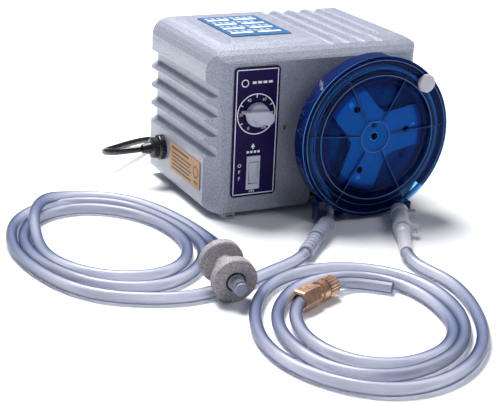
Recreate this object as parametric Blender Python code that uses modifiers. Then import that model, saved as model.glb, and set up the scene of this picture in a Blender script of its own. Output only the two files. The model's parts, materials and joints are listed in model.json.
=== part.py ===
"""A peristaltic metering pump: a ribbed grey housing, a round blue pump head and two clear hoses.

Dimensions are given in millimetres and turned into metres by the helper functions. While the pieces are made,
the floor is z = 0, the housing's front face is y = 0 and the housing is centred on x = 0. At the end everything
is moved so that the origin lies on the floor under the middle of the pump's own box, with +Z up.
"""

import math

import bmesh
import bpy
from mathutils import Matrix, Vector

MM = 0.001
GAP = 0.3
BOX_MIDDLE = (2.25, 43.7)

# Housing
WIDTH = 203.0
DEPTH = 142.0
BASE_Z = 6.5
TOP_Z = 151.0
SIDE_GROOVES_Z = (112.5, 95.3, 78.0, 60.7)
SIDE_GROOVE_DEPTH = 7.0
SIDE_GROOVE_HALF = 8.0
TOP_GROOVES_X = (13.0, 29.3, 45.6, 62.0)
TOP_GROOVE_DEPTH = 4.6
TOP_GROOVE_HALF = 7.4
GROOVE_STEPS = (-1.0, -0.88, -0.74, -0.6, -0.46, -0.34, 0.34, 0.46, 0.6, 0.74, 0.88, 1.0)
TOP_EDGE_RADIUS = 21.0
FRONT_SLOPE_RUN = 30.0
FRONT_SLOPE_RADIUS = 41.1

# Front panel and its controls
PANEL_X = -61.7
PANEL_Z = 77.6
PANEL_WIDTH = 42.5
PANEL_HEIGHT = 114.0
KNOB_Z = 93.7
KNOB_REST_DEG = 165.0
SWITCH_X = -63.2
SWITCH_Z = 42.2
ROCKER_REST_DEG = -8.0

# Pump head
HEAD_X = 35.5
HEAD_Z = 74.8
HEAD_RADIUS = 71.2
HEAD_FRONT = -40.0
HEAD_BACK = -23.5
RACE_RADIUS = 64.3
WINDOW_DEPTH = 3.7
ROLLER_RADIUS = 19.7
ROLLER_ORBIT = 38.5
ROTOR_ANGLES = (130.0, 250.0, 10.0)
ARM_OUTLINE = (
    (-23.0, 46.5),
    (-20.0, 48.0),
    (-10.0, 47.6),
    (0.0, 47.4),
    (10.0, 47.6),
    (20.0, 48.0),
    (23.0, 46.5),
    (29.0, 38.0),
    (37.0, 30.5),
    (48.0, 25.0),
    (60.0, 23.0),
    (72.0, 25.0),
    (83.0, 30.5),
    (91.0, 38.0),
)
COVER_RIB_ANGLES = (6.0, 64.0, 121.0, 174.0, 236.0, 298.0)
PUMP_TUBE_RADIUS = 2.7
PUMP_TUBE_ORBIT = 61.3
PUMP_TUBE_Y = -31.7
PUMP_TUBE_STRETCH = 1.7
THUMB_SCREW = (79.3, 120.3)

# Hoses and cord
HOSE_RADIUS = 4.75
SLEEVE_START = (-14.4, -51.2, 7.6)
SLEEVE_END = (-63.6, -104.2, 6.8)
COUPLING_START = (58.2, -48.6, 8.7)
COUPLING_END = (13.0, -133.4, 8.0)
WEIGHT_BACK = (-147.6, -122.0, 20.5)
WEIGHT_FRONT = (-151.4, -160.5, 17.15)
CORD_RADIUS = 3.1
GLAND = (-101.5, 109.0, 35.5)
COIL = (18.0, 194.0)
COIL_RADIUS = 34.2
COIL_TURNS = 6.125
COIL_PITCH = 6.3
PLUG = (156.6, 185.3, 11.0)

PARTS = None
CUTTERS = None
MATERIALS = {}


def clear_scene():
    """Starts from an empty scene with one collection for the parts and one for the cutters."""
    global PARTS, CUTTERS
    for obj in list(bpy.data.objects):
        bpy.data.objects.remove(obj, do_unlink=True)
    for collection in list(bpy.data.collections):
        bpy.data.collections.remove(collection)
    PARTS = bpy.data.collections.new("peristaltic_pump")
    CUTTERS = bpy.data.collections.new("cutters")
    bpy.context.scene.collection.children.link(PARTS)
    bpy.context.scene.collection.children.link(CUTTERS)
    CUTTERS.hide_render = True
    bpy.context.scene.unit_settings.system = "METRIC"
    bpy.context.scene.unit_settings.scale_length = 1.0


def material(name, colour, roughness, metallic=0.0, alpha=1.0):
    """A plain Principled material, made once and then reused."""
    if name in MATERIALS:
        return MATERIALS[name]
    made = bpy.data.materials.new(name)
    made.use_nodes = True
    shader = made.node_tree.nodes["Principled BSDF"]
    shader.inputs["Base Color"].default_value = (*colour, 1.0)
    shader.inputs["Roughness"].default_value = roughness
    shader.inputs["Metallic"].default_value = metallic
    shader.inputs["Alpha"].default_value = alpha
    made.diffuse_color = (*colour, alpha)
    MATERIALS[name] = made
    return made


def hammertone():
    return material("housing_grey", (0.36, 0.37, 0.40), 0.45)


def black_plastic():
    return material("black_plastic", (0.015, 0.015, 0.017), 0.4)


def blue_clear():
    return material("blue_clear", (0.01, 0.06, 0.42), 0.08, alpha=0.45)


def blue_opaque():
    return material("blue_plastic", (0.01, 0.05, 0.30), 0.3)


def white_plastic():
    return material("white_plastic", (0.75, 0.75, 0.76), 0.35)


def pale_grey():
    return material("pale_grey", (0.58, 0.58, 0.62), 0.4)


def clear_vinyl():
    return material("clear_vinyl", (0.78, 0.80, 0.88), 0.12, alpha=0.5)


def ceramic():
    return material("ceramic", (0.42, 0.38, 0.37), 0.65)


def brass():
    return material("brass", (0.72, 0.47, 0.25), 0.28, metallic=1.0)


def steel():
    return material("steel", (0.55, 0.56, 0.58), 0.3, metallic=1.0)


def link(obj, shade, collection=None):
    """Puts the object in its collection and gives it its material."""
    (collection or PARTS).objects.link(obj)
    if shade is not None:
        obj.data.materials.clear()
        obj.data.materials.append(shade)
    if collection is CUTTERS:
        obj.hide_render = True
        obj.display_type = "WIRE"
    return obj


def smooth(obj, degrees=35.0):
    """Shades a mesh smooth, leaving its edges over the angle sharp."""
    mesh = obj.data
    work = bmesh.new()
    work.from_mesh(mesh)
    for face in work.faces:
        face.smooth = True
    for edge in work.edges:
        if len(edge.link_faces) == 2 and edge.calc_face_angle(0.0) > math.radians(degrees):
            edge.smooth = False
    work.to_mesh(mesh)
    work.free()
    return obj


def place(obj, location, turn=(0.0, 0.0, 0.0)):
    """Sets the object's location in millimetres and its turn in degrees."""
    obj.location = Vector(location) * MM
    obj.rotation_euler = tuple(math.radians(angle) for angle in turn)
    return obj


def box(name, low, high, shade=None, collection=None):
    """A box between two corners, with its origin at its centre."""
    low = Vector(low)
    high = Vector(high)
    mesh = bpy.data.meshes.new(name)
    work = bmesh.new()
    bmesh.ops.create_cube(work, size=1.0)
    bmesh.ops.scale(work, vec=(high - low) * MM, verts=work.verts)
    work.to_mesh(mesh)
    work.free()
    obj = bpy.data.objects.new(name, mesh)
    obj.location = (low + high) * 0.5 * MM
    return link(obj, shade, collection)


def bevel(obj, width, segments=2, degrees=30.0):
    """Rounds the object's edges over the angle."""
    modifier = obj.modifiers.new("edge_round", "BEVEL")
    modifier.width = width * MM
    modifier.segments = segments
    modifier.limit_method = "ANGLE"
    modifier.angle_limit = math.radians(degrees)
    modifier.harden_normals = False
    return obj


def baked(obj):
    """Applies the object's modifiers and its transform's scale, keeping it one mesh object."""
    bpy.context.view_layer.update()
    graph = bpy.context.evaluated_depsgraph_get()
    mesh = bpy.data.meshes.new_from_object(obj.evaluated_get(graph))
    old = obj.data
    obj.modifiers.clear()
    obj.data = mesh
    bpy.data.meshes.remove(old)
    return obj


def turned(name, profile, steps=32, shade=None, collection=None, closed=False):
    """A solid turned about its own Z from (radius, height) points that run down the outer side."""
    mesh = bpy.data.meshes.new(name)
    points = [(radius * MM, 0.0, height * MM) for radius, height in profile]
    edges = [(i, i + 1) for i in range(len(points) - 1)]
    if closed:
        edges.append((len(points) - 1, 0))
    mesh.from_pydata(points, edges, [])
    obj = bpy.data.objects.new(name, mesh)
    link(obj, shade, collection)
    screw = obj.modifiers.new("turn", "SCREW")
    screw.axis = "Z"
    screw.angle = math.radians(360.0)
    screw.steps = steps
    screw.render_steps = steps
    screw.use_merge_vertices = True
    screw.merge_threshold = 0.00001
    screw.use_smooth_shade = True
    baked(obj)
    work = bmesh.new()
    work.from_mesh(obj.data)
    bmesh.ops.remove_doubles(work, verts=work.verts, dist=0.000005)
    bmesh.ops.recalc_face_normals(work, faces=work.faces)
    work.to_mesh(obj.data)
    work.free()
    return smooth(obj)


def ring_profile(inner, outer, low, high):
    """The four corners of a ring's section, outer side first."""
    return [(outer, high), (outer, low), (inner, low), (inner, high)]


def disc_profile(radius, low, high, edge=0.0):
    """The outline of a disc with a small chamfer round its two rims."""
    if edge <= 0.0:
        return [(0.0, high), (radius, high), (radius, low), (0.0, low)]
    return [
        (0.0, high),
        (radius - edge, high),
        (radius, high - edge),
        (radius, low + edge),
        (radius - edge, low),
        (0.0, low),
    ]


def outline(name, loops, thickness, shade=None, collection=None):
    """A flat plate cut to one or more closed loops of points in its own XY plane, centred on z = 0."""
    curve = bpy.data.curves.new(name, "CURVE")
    curve.dimensions = "2D"
    curve.fill_mode = "BOTH"
    curve.extrude = thickness * 0.5 * MM
    for loop in loops:
        spline = curve.splines.new("POLY")
        spline.points.add(len(loop) - 1)
        for point, (x, y) in zip(spline.points, loop):
            point.co = (x * MM, y * MM, 0.0, 1.0)
        spline.use_cyclic_u = True
    drawn = bpy.data.objects.new(name + "_drawn", curve)
    bpy.context.scene.collection.objects.link(drawn)
    bpy.context.view_layer.update()
    graph = bpy.context.evaluated_depsgraph_get()
    mesh = bpy.data.meshes.new_from_object(drawn.evaluated_get(graph))
    mesh.name = name
    bpy.data.objects.remove(drawn, do_unlink=True)
    work = bmesh.new()
    work.from_mesh(mesh)
    bmesh.ops.remove_doubles(work, verts=work.verts, dist=0.000002)
    bmesh.ops.recalc_face_normals(work, faces=work.faces)
    work.to_mesh(mesh)
    work.free()
    obj = bpy.data.objects.new(name, mesh)
    return link(obj, shade, collection)


def boolean(target, tool, operation="DIFFERENCE", keep_tool=False):
    """Applies one exact Boolean to the target and removes the tool."""
    modifier = target.modifiers.new("cut", "BOOLEAN")
    modifier.operation = operation
    modifier.solver = "EXACT"
    modifier.object = tool
    baked(target)
    if not keep_tool:
        bpy.data.objects.remove(tool, do_unlink=True)
    return target


def rounded_rectangle(width, height, radius, steps=5):
    """The corners of a rounded rectangle about the origin, anticlockwise."""
    points = []
    for index, (sx, sy) in enumerate(((1, 1), (-1, 1), (-1, -1), (1, -1))):
        cx = sx * (width * 0.5 - radius)
        cy = sy * (height * 0.5 - radius)
        for step in range(steps + 1):
            angle = math.radians(90.0 * index + 90.0 * step / steps)
            points.append((cx + radius * math.cos(angle), cy + radius * math.sin(angle)))
    return points


def circle_points(radius, count, centre=(0.0, 0.0)):
    """Evenly spaced points round a circle."""
    points = []
    for index in range(count):
        angle = 2.0 * math.pi * index / count
        points.append((centre[0] + radius * math.cos(angle), centre[1] + radius * math.sin(angle)))
    return points


def ellipse_points(centre, across, along, count=64):
    """Points round an ellipse given by two half-diameters that need not be square to each other."""
    points = []
    for index in range(count):
        angle = 2.0 * math.pi * index / count
        x = centre[0] + across[0] * math.cos(angle) + along[0] * math.sin(angle)
        y = centre[1] + across[1] * math.cos(angle) + along[1] * math.sin(angle)
        points.append((x, y))
    return points


def smooth_path(points, spacing):
    """Evenly spaced points on a smooth curve through the given ones."""
    knots = [Vector(point) for point in points]
    padded = [knots[0] * 2.0 - knots[1]] + knots + [knots[-1] * 2.0 - knots[-2]]
    fine = []
    for index in range(1, len(padded) - 2):
        before, start, end, after = padded[index - 1:index + 3]
        for step in range(16):
            t = step / 16.0
            fine.append(
                0.5 * (
                    2.0 * start
                    + (end - before) * t
                    + (2.0 * before - 5.0 * start + 4.0 * end - after) * t ** 2
                    + (3.0 * start - before - 3.0 * end + after) * t ** 3
                )
            )
    fine.append(knots[-1])
    reach = [0.0]
    for start, end in zip(fine, fine[1:]):
        reach.append(reach[-1] + (end - start).length)
    count = max(2, round(reach[-1] / spacing) + 1)
    path = []
    at = 0
    for index in range(count):
        wanted = reach[-1] * index / (count - 1)
        while at < len(fine) - 2 and reach[at + 1] < wanted:
            at += 1
        share = (wanted - reach[at]) / max(reach[at + 1] - reach[at], 1e-9)
        path.append(fine[at].lerp(fine[at + 1], min(max(share, 0.0), 1.0)))
    return path


def tube(name, path, radius, shade, resolution=3, stretch_y=1.0, about_y=0.0):
    """A round tube along a path; stretch_y widens its section along Y about the plane y = about_y."""
    curve = bpy.data.curves.new(name, "CURVE")
    curve.dimensions = "3D"
    curve.bevel_depth = radius * MM
    curve.bevel_resolution = resolution
    curve.use_fill_caps = True
    spline = curve.splines.new("POLY")
    spline.points.add(len(path) - 1)
    for point, place_at in zip(spline.points, path):
        y = (place_at[1] - about_y) / stretch_y
        point.co = (place_at[0] * MM, y * MM, place_at[2] * MM, 1.0)
        point.radius = 1.0
    spline.use_smooth = True
    obj = bpy.data.objects.new(name, curve)
    obj.location = (0.0, about_y * MM, 0.0)
    obj.scale = (1.0, stretch_y, 1.0)
    return link(obj, shade)


def facing_front(obj, x, z, y=0.0):
    """Turns the object's own +Z towards the front and puts its origin on the axis through (x, z)."""
    return place(obj, (x, y, z), (90.0, 0.0, 0.0))


def groove(place, centres, half, depth):
    """How far a wall is set in at a place across its grooves: a wide flat bottom between narrow round ribs."""
    for centre in centres:
        away = abs(place - centre) / half
        if away < 1.0:
            return depth * 0.5 * (1.0 + math.cos(math.pi * max(0.0, (away - 0.34) / 0.66)))
    return 0.0


def side_groove(z):
    """How far the side wall is set in at a height."""
    return groove(z, SIDE_GROOVES_Z, SIDE_GROOVE_HALF, SIDE_GROOVE_DEPTH)


def top_groove(x):
    """How far the top is set down at a distance across it."""
    return groove(x, TOP_GROOVES_X, TOP_GROOVE_HALF, TOP_GROOVE_DEPTH)


def arc(centre, radius, start, end, steps):
    """Points along an arc between two angles in degrees."""
    points = []
    for step in range(steps + 1):
        angle = math.radians(start + (end - start) * step / steps)
        points.append((centre[0] + radius * math.cos(angle), centre[1] + radius * math.sin(angle)))
    return points


def front_view_outline():
    """The housing's outline seen from the front, with the grooves of both sides and of the top."""
    half = WIDTH * 0.5
    bottom = BASE_Z
    radius = TOP_EDGE_RADIUS
    points = arc((half - 6.0, bottom + 6.0), 6.0, -90.0, 0.0, 4)
    heights = sorted(
        centre + SIDE_GROOVE_HALF * share
        for centre in SIDE_GROOVES_Z
        for share in GROOVE_STEPS
    )
    points += [(half - side_groove(z), z) for z in heights]
    points += arc((half - radius, TOP_Z - radius), radius, 0.0, 90.0, 7)
    across = sorted(
        (
            centre + TOP_GROOVE_HALF * share
            for centre in TOP_GROOVES_X
            for share in GROOVE_STEPS
        ),
        reverse=True,
    )
    points += [(x, TOP_Z - top_groove(x)) for x in across]
    points += arc((-half + radius, TOP_Z - radius), radius, 90.0, 180.0, 7)
    points += [(-half + side_groove(z), z) for z in reversed(heights)]
    points += arc((-half + 6.0, bottom + 6.0), 6.0, 180.0, 270.0, 4)
    return points


def plan_outline():
    """The housing's outline seen from above: cut front corners and rounded back ones."""
    half = WIDTH * 0.5
    points = [
        (-half, 17.0),
        (-half + 7.4, 3.9),
        (-half + 9.6, 1.6),
        (-half + 12.6, 0.4),
        (-half + 16.5, 0.0),
        (half - 16.5, 0.0),
        (half - 12.6, 0.4),
        (half - 9.6, 1.6),
        (half - 7.4, 3.9),
        (half, 17.0),
    ]
    points += arc((half - 3.5, DEPTH - 3.5), 3.5, 0.0, 90.0, 4)
    points += arc((-half + 3.5, DEPTH - 3.5), 3.5, 90.0, 180.0, 4)
    return points


def side_outline():
    """The housing's outline seen from the side: a sloping top front edge and a rounded back one."""
    top = TOP_Z + 0.03
    centre = (FRONT_SLOPE_RUN, top - FRONT_SLOPE_RADIUS)
    points = [(-4.0, 0.0), (DEPTH + 0.6, 0.0)]
    points += arc((DEPTH - 8.4, top - 9.0), 9.0, 0.0, 90.0, 4)
    points += arc(centre, FRONT_SLOPE_RADIUS, 90.0, 160.0, 8)
    points.append((-4.0, centre[1] + 10.0))
    return points


def front_notch(name):
    """The cut in the housing's lower front edge behind the pump head."""
    points = [(-11.0, 2.0)]
    points += arc((-11.0, BASE_Z + 6.0), 6.0, -90.0, 0.0, 4)
    points += [(-5.0, 20.0), (-3.0, 22.0), (76.0, 22.0), (78.0, 20.0), (78.0, 2.0)]
    notch = outline(name, [points], 17.0, collection=CUTTERS)
    return place(notch, (0.0, 3.5, 0.0), (90.0, 0.0, 0.0))


def panel_openings():
    """Cutters for the knob's shaft and for the switch body."""
    shaft = turned("shaft_hole", disc_profile(3.7, -3.0, 7.0), 20, collection=CUTTERS)
    facing_front(shaft, PANEL_X, KNOB_Z, 0.0)
    shaft.rotation_euler = (math.radians(-90.0), 0.0, 0.0)
    body = box(
        "switch_hole",
        (SWITCH_X - 5.9, -3.0, SWITCH_Z - 14.1),
        (SWITCH_X + 5.9, 7.0, SWITCH_Z + 14.1),
        collection=CUTTERS,
    )
    return shaft, body


def housing_shell():
    """The ribbed housing, open underneath, with openings for the controls and for the drive shaft."""
    shell = outline("housing_shell", [front_view_outline()], DEPTH + 10.0, hammertone())
    place(shell, (0.0, DEPTH * 0.5, 0.0), (90.0, 0.0, 0.0))
    plan = outline("plan", [plan_outline()], 170.0, collection=CUTTERS)
    place(plan, (0.0, 0.0, 78.0))
    boolean(shell, plan, "INTERSECT")
    side = outline("side", [side_outline()], WIDTH + 20.0, collection=CUTTERS)
    place(side, (0.0, 0.0, 0.0), (90.0, 0.0, 90.0))
    boolean(shell, side, "INTERSECT")
    half = WIDTH * 0.5 - 10.5
    low_room = box("low_room", (-half, 4.0, -2.0), (half, DEPTH - 4.0, 139.0), collection=CUTTERS)
    boolean(shell, low_room)
    high_room = box("high_room", (-84.0, 15.0, 120.0), (84.0, DEPTH - 9.0, 143.0), collection=CUTTERS)
    boolean(shell, high_room)
    boolean(shell, front_notch("front_notch"))
    for cutter in panel_openings():
        boolean(shell, cutter)
    drive = turned("drive_hole", disc_profile(9.0, -3.0, 7.0), 28, collection=CUTTERS)
    place(drive, (HEAD_X, 0.0, HEAD_Z), (-90.0, 0.0, 0.0))
    boolean(shell, drive)
    return smooth(shell, 32.0)


def base_plate():
    """The flat plate that closes the housing underneath."""
    plate = box(
        "base_plate",
        (-90.5, 4.5, BASE_Z),
        (90.5, DEPTH - 4.5, BASE_Z + 2.0),
        hammertone(),
    )
    boolean(plate, front_notch("plate_notch"))
    return plate


def foot(name, x, y, slot_side):
    """A low foot with a slot in its outer end."""
    made = box(name, (x - 6.25, y - 11.0, 0.0), (x + 6.25, y + 11.0, BASE_Z - GAP), hammertone())
    bevel(made, 1.8, 3)
    baked(made)
    end = y + slot_side * 11.0
    slot = box(name + "_slot", (x - 3.0, end - 2.5, 2.6), (x + 3.0, end + 2.5, 4.3), collection=CUTTERS)
    boolean(made, slot)
    return smooth(made, 40.0)


def front_panel():
    """The dark panel plate behind the knob and the switch."""
    loop = rounded_rectangle(PANEL_WIDTH, PANEL_HEIGHT, 3.5)
    panel = outline("front_panel", [loop], 1.0, material("panel_navy", (0.02, 0.015, 0.09), 0.35))
    facing_front(panel, PANEL_X, PANEL_Z, -0.8)
    for cutter in panel_openings():
        boolean(panel, cutter)
    return panel


def knob():
    """The speed knob: a round skirt, a teardrop pointer bar and the shaft behind them."""
    skirt = turned(
        "speed_knob",
        [
            (0.0, 7.0),
            (8.6, 7.0),
            (9.8, 6.4),
            (10.6, 2.4),
            (10.6, 1.0),
            (3.0, 1.0),
            (3.0, -8.5),
            (0.0, -8.5),
        ],
        32,
        pale_grey(),
    )
    tip = -16.2
    bar_points = arc((5.4, 0.0), 5.7, -105.0, 105.0, 12)
    bar = outline("pointer", [[(tip, 0.7), (tip, -0.7)] + bar_points], 10.5, collection=CUTTERS)
    bar.location = (0.0, 0.0, 8.0 * MM)
    bevel(bar, 0.9, 2, 40.0)
    baked(bar)
    boolean(skirt, bar, "UNION")
    place(skirt, (PANEL_X, -1.6, KNOB_Z), (90.0, 180.0 - KNOB_REST_DEG, 0.0))
    return smooth(skirt, 32.0)


def potentiometer():
    """The round speed control behind the panel, with a blind hole for the knob's shaft."""
    body = turned(
        "speed_control",
        [
            (3.4, -4.5),
            (5.0, -4.5),
            (5.0, -7.0),
            (12.0, -7.0),
            (12.0, -17.0),
            (0.0, -17.0),
            (0.0, -9.0),
            (3.4, -9.0),
        ],
        28,
        steel(),
        closed=True,
    )
    return facing_front(body, PANEL_X, KNOB_Z, 0.0)


def rocker_switch():
    """The switch frame with its body behind the panel, and the rocker in it."""
    frame = box(
        "switch_frame",
        (SWITCH_X - 6.3, -3.4, SWITCH_Z - 14.95),
        (SWITCH_X + 6.3, -1.6, SWITCH_Z + 14.95),
        pale_grey(),
    )
    bevel(frame, 0.5, 2)
    baked(frame)
    body = box(
        "switch_body",
        (SWITCH_X - 5.4, -2.6, SWITCH_Z - 13.6),
        (SWITCH_X + 5.4, 16.0, SWITCH_Z + 13.6),
        collection=CUTTERS,
    )
    boolean(frame, body, "UNION")
    well = box(
        "switch_well",
        (SWITCH_X - 4.6, -8.0, SWITCH_Z - 9.9),
        (SWITCH_X + 4.6, 4.2, SWITCH_Z + 9.9),
        collection=CUTTERS,
    )
    boolean(frame, well)
    points = [
        (-9.0, -0.6),
        (-3.0, -3.2),
        (3.0, -3.2),
        (9.0, -0.6),
        (9.0, 4.1),
        (4.6, 2.9),
        (0.0, 2.5),
        (-4.6, 2.9),
        (-9.0, 4.1),
    ]
    rocker = outline("rocker", [points], 8.4, pale_grey())
    bevel(rocker, 0.35, 1, 50.0)
    baked(rocker)
    spin = Matrix(((0, 0, 1, 0), (0, -1, 0, 0), (1, 0, 0, 0), (0, 0, 0, 1)))
    rocker.data.transform(spin)
    place(rocker, (SWITCH_X, -1.0, SWITCH_Z), (ROCKER_REST_DEG, 0.0, 0.0))
    return frame, rocker


def front_screw():
    """The small domed screw in the front face between the panel and the head."""
    head = turned(
        "front_screw",
        [(0.0, 1.7), (1.2, 1.55), (2.0, 1.0), (2.3, 0.3), (0.0, 0.3)],
        16,
        steel(),
    )
    slot = box("screw_slot", (-3.0, -0.35, 1.0), (3.0, 0.35, 3.0), collection=CUTTERS)
    boolean(head, slot)
    return facing_front(head, -34.9, 78.6)


def labels():
    """The two thin label plates, one on the top and one on the left side."""
    top = outline(
        "top_label",
        [rounded_rectangle(57.5, 77.0, 1.5, 3)],
        0.4,
        material("label_white", (0.55, 0.66, 0.82), 0.4),
    )
    place(top, (-38.7, 78.5, TOP_Z + 0.5))
    side = outline(
        "side_label",
        [rounded_rectangle(67.0, 25.5, 1.0, 3)],
        0.4,
        material("label_orange", (0.72, 0.42, 0.16), 0.5),
    )
    place(side, (-WIDTH * 0.5 - 0.5, 55.5, 34.2), (90.0, 0.0, -90.0))
    return top, side


def gland():
    """The round strain relief where the mains cord leaves the left side."""
    body = turned(
        "cord_gland",
        [
            (0.0, 20.2),
            (3.9, 20.2),
            (4.2, 19.8),
            (5.6, 12.4),
            (8.6, 11.4),
            (9.6, 10.2),
            (9.8, 6.0),
            (11.2, 5.0),
            (11.5, 4.2),
            (11.5, 0.3),
            (0.0, 0.3),
        ],
        32,
        black_plastic(),
    )
    return place(body, GLAND, (0.0, -90.0, 0.0))


def drive_train():
    """Motor, gearbox and speed board inside the housing."""
    gearbox = box("gearbox", (7.0, 12.0, 46.0), (64.0, 40.0, 103.0), material("cast_grey", (0.2, 0.2, 0.21), 0.5, 0.6))
    bevel(gearbox, 2.0, 2)
    baked(gearbox)
    bore = turned("gearbox_bore", disc_profile(5.4, -26.0, 2.0), 24, collection=CUTTERS)
    place(bore, (HEAD_X, 12.0, HEAD_Z), (90.0, 0.0, 0.0))
    boolean(gearbox, bore)
    motor = turned("motor", disc_profile(27.0, -108.0, -40.4, 2.0), 36, steel())
    facing_front(motor, HEAD_X, HEAD_Z)
    board = box("speed_board", (-86.0, 24.0, 46.0), (-30.0, 25.6, 128.0), material("board_green", (0.02, 0.16, 0.06), 0.5))
    return gearbox, motor, board


def exit_slots():
    """Cutters for the two places where the pump tube leaves the head at the bottom."""
    cutters = []
    for x_low, x_high in ((-16.0, 5.0), (66.0, 87.0)):
        cutters.append(
            box("exit_slot", (x_low, -37.6, -2.0), (x_high, -25.5, 38.0), collection=CUTTERS)
        )
    return cutters


def head_mount():
    """The round spacer between the housing and the pump head."""
    ring = turned(
        "head_mount",
        [(44.0, -0.3), (44.0, -23.2), (9.0, -23.2), (9.0, -0.3)][::-1],
        40,
        black_plastic(),
        closed=True,
    )
    ring.data.transform(Matrix.Scale(-1.0, 4, (0.0, 0.0, 1.0)))
    ring.data.flip_normals()
    return facing_front(ring, HEAD_X, HEAD_Z)


def race_shell():
    """The back half of the head: a dished plate whose inner wall the pump tube lies against."""
    front = -HEAD_FRONT
    back = -HEAD_BACK
    shell = turned(
        "race_shell",
        [
            (HEAD_RADIUS, front - 2.5),
            (HEAD_RADIUS, back + 0.6),
            (HEAD_RADIUS - 0.6, back),
            (7.0, back),
            (7.0, back + 2.0),
            (RACE_RADIUS, back + 2.0),
            (RACE_RADIUS, front - 2.5),
        ],
        64,
        blue_opaque(),
        closed=True,
    )
    facing_front(shell, HEAD_X, HEAD_Z)
    for cutter in exit_slots():
        boolean(shell, cutter)
    return smooth(shell)


def head_cover():
    """The clear front plate of the head: raised rings, six ribs, a hub ring and a screw hole."""
    front = -HEAD_FRONT
    dish = front - WINDOW_DEPTH
    cover = turned(
        "head_cover",
        [
            (0.0, dish),
            (13.2, dish),
            (13.2, dish + 0.7),
            (14.4, dish + 0.7),
            (14.4, dish),
            (52.6, dish),
            (54.2, front - 0.6),
            (54.2, front + 0.3),
            (55.6, front + 0.3),
            (55.6, front - 0.6),
            (66.6, front - 0.6),
            (67.4, front),
            (70.4, front),
            (HEAD_RADIUS, front - 0.8),
            (HEAD_RADIUS, front - 2.2),
            (56.6, front - 2.2),
            (54.6, dish - 2.0),
            (0.0, dish - 2.0),
        ],
        64,
        blue_clear(),
    )
    for index, angle in enumerate(COVER_RIB_ANGLES):
        side = [
            (13.8, dish - 0.5),
            (13.8, dish + 0.8),
            (52.0, front + 0.1),
            (66.9, front + 0.1),
            (66.9, front - 1.2),
            (56.0, front - 1.2),
            (52.5, dish - 0.5),
        ]
        rib = outline(f"cover_rib_{index}", [side], 1.1, collection=CUTTERS)
        rib.data.transform(Matrix.Rotation(math.radians(90.0), 4, "X"))
        rib.rotation_euler = (0.0, 0.0, math.radians(angle))
        boolean(cover, rib, "UNION")
    hole = turned("screw_hole", disc_profile(3.4, front - 6.0, front + 4.0), 20, collection=CUTTERS)
    hole.location = ((THUMB_SCREW[0] - HEAD_X) * MM, (THUMB_SCREW[1] - HEAD_Z) * MM, 0.0)
    boolean(cover, hole)
    facing_front(cover, HEAD_X, HEAD_Z)
    return smooth(cover)


def thumb_screw():
    """The white screw that holds the cover at its upper right."""
    screw = turned(
        "thumb_screw",
        [
            (0.0, 4.4),
            (6.6, 4.4),
            (7.9, 3.4),
            (7.9, 0.8),
            (7.4, 0.3),
            (3.0, 0.3),
            (3.0, -2.0),
            (0.0, -2.0),
        ],
        32,
        white_plastic(),
    )
    return facing_front(screw, THUMB_SCREW[0], THUMB_SCREW[1], HEAD_FRONT)


def rotor_outline():
    """The three-armed outline of a rotor plate: round arm ends with hollow sides between them."""
    points = []
    for index in range(3):
        middle = ROTOR_ANGLES[0] + 120.0 * index
        for offset, radius in ARM_OUTLINE:
            angle = math.radians(middle + offset)
            points.append((radius * math.cos(angle), radius * math.sin(angle)))
    return points


def pin_places():
    """The three roller pins' centres in the head's own XY plane."""
    places = []
    for angle in ROTOR_ANGLES:
        turn = math.radians(angle)
        places.append((ROLLER_ORBIT * math.cos(turn), ROLLER_ORBIT * math.sin(turn)))
    return places


def rotor():
    """The shaft, its hub, the two rotor plates, the roller pins and the rollers."""
    shaft = turned("drive_shaft", disc_profile(5.0, -34.0, 33.9, 0.5), 24, steel())
    facing_front(shaft, HEAD_X, HEAD_Z)
    hub = turned("rotor_hub", ring_profile(5.3, 14.0, 27.6, 32.2), 32, steel(), closed=True)
    facing_front(hub, HEAD_X, HEAD_Z)
    plates = []
    for name, middle in (("rotor_back_plate", 26.6), ("rotor_front_plate", 33.2)):
        loops = [rotor_outline(), circle_points(5.3, 24)]
        for centre in pin_places():
            loops.append(circle_points(2.8, 16, centre))
        if name == "rotor_front_plate":
            loops.append(circle_points(2.0, 14, (0.0, 9.8)))
        plate = outline(name, loops, 1.4, steel())
        facing_front(plate, HEAD_X, HEAD_Z, -middle)
        plates.append(plate)
    for index, centre in enumerate(pin_places(), 1):
        pin = turned(f"roller_pin_{index}", disc_profile(2.5, 25.9, 33.9), 16, steel())
        facing_front(pin, HEAD_X + centre[0], HEAD_Z + centre[1])
        roller = turned(
            f"roller_{index}",
            [
                (ROLLER_RADIUS - 0.8, 32.2),
                (ROLLER_RADIUS, 31.4),
                (ROLLER_RADIUS, 28.4),
                (ROLLER_RADIUS - 0.8, 27.6),
                (2.9, 27.6),
                (2.9, 32.2),
            ],
            40,
            black_plastic(),
            closed=True,
        )
        facing_front(roller, HEAD_X + centre[0], HEAD_Z + centre[1])
    return shaft, hub, plates


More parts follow.
